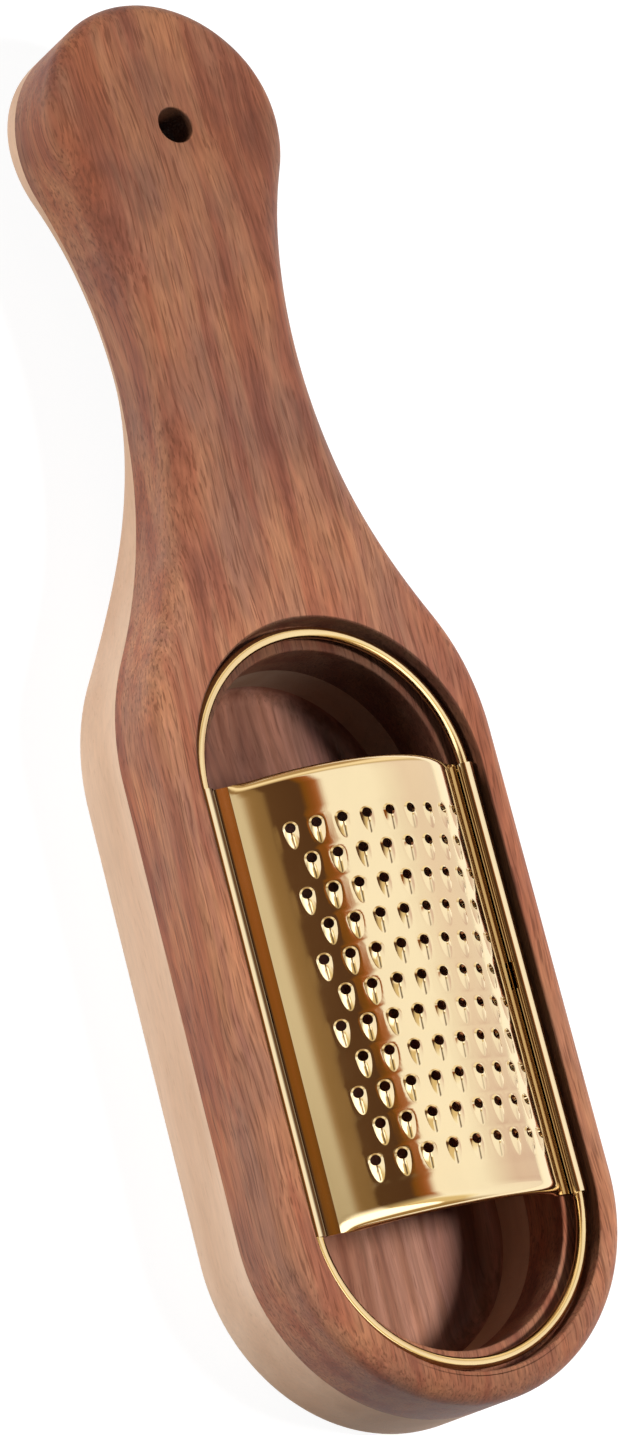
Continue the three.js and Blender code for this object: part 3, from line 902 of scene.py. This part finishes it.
# Studio: a plain pale floor, a soft key light from the upper right and a low fill light from the
# left. The camera stands to the left of the catch end and looks down along the board.
floor_reach = 4
floor_under_object, floor_in_view, floor_glow = grey(0.3), grey(0.25), 0.92

floor_mesh = bmesh.new()
bmesh.ops.create_grid(floor_mesh, x_segments=1, y_segments=1, size=floor_reach)
floor_data = bpy.data.meshes.new("floor")
floor_mesh.to_mesh(floor_data)
floor_mesh.free()
floor = bpy.data.objects.new("floor", floor_data)
bpy.context.scene.collection.objects.link(floor)

# Matt white paint: it looks nearly white to the camera and in reflections, and throws less light
# up at the object than it shows
floor_paint, tree = new_material("matt_white_floor")
ray = add(tree, "LightPath")
seen = add(tree, "Math", {"operation": "MAXIMUM"}, {
    0: ray.outputs["Is Camera Ray"], 1: ray.outputs["Is Glossy Ray"]})
seen = add(tree, "Math", {"operation": "MAXIMUM"}, {
    0: seen.outputs["Value"], 1: ray.outputs["Is Transmission Ray"]})
lit = add(tree, "BsdfDiffuse", inputs={"Color": floor_under_object})
pale = add(tree, "BsdfDiffuse", inputs={"Color": floor_in_view})
glow = add(tree, "Emission", inputs={"Color": grey(1), "Strength": floor_glow})
bright = add(tree, "AddShader", inputs={0: pale.outputs["BSDF"], 1: glow.outputs["Emission"]})
surface = add(tree, "MixShader", inputs={
    "Fac": seen.outputs["Value"], 1: lit.outputs["BSDF"], 2: bright.outputs["Shader"]})
add(tree, "OutputMaterial", inputs={"Surface": surface.outputs["Shader"]})
floor_data.materials.append(floor_paint)

# The world is white to the camera, a weak light on the object, and a room of coloured cards in
# reflections. The cards go by how far a direction leans to the right of upright, and each room
# gives way to the next one between two values of the direction's Y.
lean_start, lean_by_y = 0.17, math.radians(60)
dim_ends, ahead_ends, behind_ends, low_ends = (0.16, 0.11), (0.09, 0), (0.35, 0.5), (-0.75, -0.9)
sky_ends, sky_strengths = (-0.6, 0.3), (0.01, 0.1)

world = bpy.data.worlds.new("studio")
world.use_nodes = True
tree = world.node_tree
tree.nodes.clear()
ray = add(tree, "LightPath")
way = add(tree, "SeparateXYZ", inputs={"Vector": add(tree, "TexCoord").outputs["Generated"]})
lean = add(tree, "Math", {"operation": "ARCTAN2"}, {
    0: way.outputs["X"], 1: way.outputs["Z"]})
lean_more = add(tree, "MapRange", {"clamp": False}, {
    "Value": way.outputs["Y"], "From Min": lean_start, "From Max": lean_start + 1,
    "To Max": lean_by_y})
lean = add(tree, "Math", {"operation": "ADD"}, {
    0: lean.outputs["Value"], 1: lean_more.outputs["Result"]})
lean = add(tree, "MapRange", inputs={
    "Value": lean.outputs["Value"], "From Min": -math.pi, "From Max": math.pi})


def by_lean(*stops):
    """Colours by how far a direction leans over to the right of upright, in degrees."""
    return add(tree, "ValToRGB", inputs={"Fac": lean.outputs["Result"]}, stops=[
        (0.5 + degrees / 360, (*colour, 1)) for degrees, colour in stops]).outputs["Color"]


room = by_lean(
    (-100, (1.7, 1.85, 2.05)), (-82, (1.7, 1.85, 2.05)), (-76, (0.73, 0.68, 0.58)),
    (-64, (0.73, 0.68, 0.58)), (-59, (0.4, 0.28, 0.16)), (-56, (0.31, 0.2, 0.095)),
    (-48, (0.28, 0.18, 0.085)), (-45, (0.12, 0.062, 0.031)), (-22, (0.1, 0.05, 0.026)),
    (-19, (0.21, 0.087, 0.014)), (-14, (0.3, 0.105, 0.028)), (-10, (0.42, 0.15, 0.05)),
    (-5, (1.1, 1.13, 1.17)), (30, (1.1, 1.13, 1.17)), (42, (1.02, 1.02, 1.04)),
    (60, (0.94, 0.87, 0.9)), (110, (0.93, 0.87, 0.88)))
dimmer = by_lean(
    (-72, (0.64, 0.6, 0.53)), (-50, (0.85, 0.85, 0.85)), (-5, (1.02, 1, 0.98)),
    (30, (1, 1, 1)), (60, (0.84, 0.76, 0.78)))
ahead = by_lean(
    (-100, (2.2, 2.2, 2.2)), (-50, (2.2, 2.2, 2.2)), (-44, (0.8, 0.66, 0.4)),
    (-24, (0.85, 0.72, 0.46)), (-14, (1.1, 1.1, 1)), (-8, (1.15, 1.2, 1.25)),
    (60, (1.02, 1, 1.05)))
behind = add(tree, "ValToRGB", inputs={"Fac": way.outputs["Y"]}, stops=[
    (0.4, (0.55, 0.42, 0.26, 1)), (0.52, (0.75, 0.62, 0.42, 1)), (0.62, (1.08, 1, 0.82, 1)),
    (0.78, (1.05, 0.95, 0.75, 1)), (0.86, (0.5, 0.36, 0.2, 1))]).outputs["Color"]
low = (0.4, 0.27, 0.12, 1)
reflected = room
for ends, blend, colours in (
        (dim_ends, "MULTIPLY", dimmer), (ahead_ends, "MIX", ahead),
        (behind_ends, "MIX", behind), (low_ends, "MIX", low)):
    share = add(tree, "MapRange", inputs={
        "Value": way.outputs["Y"], "From Min": ends[0], "From Max": ends[1]})
    reflected = add(tree, "Mix", {"data_type": "RGBA", "blend_type": blend}, {
        "Factor": share.outputs["Result"], 6: reflected, 7: colours}).outputs[2]
cards = add(tree, "Background", inputs={"Color": reflected, "Strength": 1})
sky = add(tree, "MapRange", inputs={
    "Value": way.outputs["Y"], "From Min": sky_ends[0], "From Max": sky_ends[1],
    "To Min": sky_strengths[0], "To Max": sky_strengths[1]})
soft = add(tree, "Background", inputs={"Color": grey(1), "Strength": sky.outputs["Result"]})
plain = add(tree, "Background", inputs={"Color": grey(1), "Strength": 1})
direct = add(tree, "Math", {"operation": "LESS_THAN"}, {
    0: ray.outputs["Diffuse Depth"], 1: 0.5})
direct = add(tree, "Math", {"operation": "MULTIPLY"}, {
    0: direct.outputs["Value"], 1: ray.outputs["Is Glossy Ray"]})
seen = add(tree, "Math", {"operation": "MAXIMUM"}, {
    0: ray.outputs["Is Camera Ray"], 1: ray.outputs["Is Transmission Ray"]})
around = add(tree, "MixShader", inputs={
    "Fac": direct.outputs["Value"], 1: soft.outputs["Background"],
    2: cards.outputs["Background"]})
around = add(tree, "MixShader", inputs={
    "Fac": seen.outputs["Value"], 1: around.outputs["Shader"], 2: plain.outputs["Background"]})
add(tree, "OutputWorld", inputs={"Surface": around.outputs["Shader"]})
bpy.context.scene.world = world


def softbox(name, place, aim, size, power):
    """A square lamp that metal doesn't mirror, in metres and watts."""
    lamp = bpy.data.lights.new(name, "AREA")
    lamp.shape = "SQUARE"
    lamp.size = size
    lamp.energy = power
    stand = bpy.data.objects.new(name, lamp)
    stand.location = place
    stand.rotation_mode = "QUATERNION"
    stand.rotation_quaternion = (Vector(aim) - Vector(place)).to_track_quat("-Z", "Y")
    stand.visible_glossy = False
    bpy.context.scene.collection.objects.link(stand)


softbox("key_light", (0.42, -0.2, 1.05), (0, -0.03, 0.02), 0.2, 12.8)
softbox("fill_light", (-1.07, 0.32, 0.1), (0, 0, 0.02), 0.4, 12.6)

camera_data = bpy.data.cameras.new("camera")
camera_data.sensor_fit = "VERTICAL"
camera_data.sensor_width = camera_data.sensor_height = 36
camera_data.lens = 107.16
camera_data.shift_x, camera_data.shift_y = -0.00794, -0.00336
camera_data.clip_start, camera_data.clip_end = 0.05, 20
camera = bpy.data.objects.new("camera", camera_data)
camera.location = Vector((-466.25, -201.12, 690.64)) * mm
camera.rotation_euler = Euler([math.radians(a) for a in (22.545, -30.738, -16.598)], "XYZ")
bpy.context.scene.collection.objects.link(camera)
bpy.context.scene.camera = camera
bpy.context.scene.view_settings.view_transform = "Standard"
